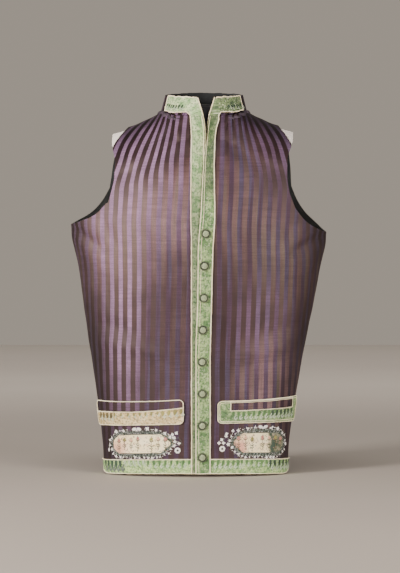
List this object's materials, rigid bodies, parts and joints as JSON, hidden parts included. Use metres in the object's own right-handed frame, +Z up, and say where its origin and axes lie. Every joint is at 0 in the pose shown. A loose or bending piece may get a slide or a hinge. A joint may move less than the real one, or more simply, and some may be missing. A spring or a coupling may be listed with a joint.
{
  "type": "silk waistcoat on a limbless dress form",
  "caption": "Sleeveless striped silk waistcoat with stand collar, ribbon borders, flapped pockets and covered buttons, standing on a limbless torso form.",
  "frame": {"origin": "middle of the object's bounding box on the plane of the dress form's flat base", "axes": "+Z up from hem to collar; -Y the way the garment's front faces; +X towards the wearer's left"},
  "size_m": [0.404, 0.2156, 0.6076],
  "materials": {
    "striped_silk": "satin stripe",
    "dark_lining": "matte",
    "green_ribbon": "woven",
    "cream_ribbon": "woven",
    "pale_satin": "satin",
    "button_cloth": "woven",
    "form_jersey": "matte",
    "black_cloth": "matte"
  },
  "bodies": {
    "root": {"front_right": "striped_silk", "front_band_right": "cream_ribbon", "hem_band_right": "green_ribbon", "flap_right": "striped_silk", "flap_trim_right": "cream_ribbon", "medallion_right": "pale_satin", "front_left": "striped_silk", "front_band_left": "green_ribbon", "hem_band_left": "green_ribbon", "flap_left": "striped_silk", "flap_trim_left": "green_ribbon", "medallion_left": "pale_satin", "back": "dark_lining", "collar_stand": "striped_silk", "collar_lining": "dark_lining", "collar_band_left": "green_ribbon", "collar_band_right": "green_ribbon", "button_1": "button_cloth", "button_2": "button_cloth", "button_3": "button_cloth", "button_4": "button_cloth", "button_5": "button_cloth", "button_6": "button_cloth", "button_7": "button_cloth", "button_8": "button_cloth", "dress_form": "form_jersey", "neck_cover": "black_cloth"}
  },
  "joints": []
}
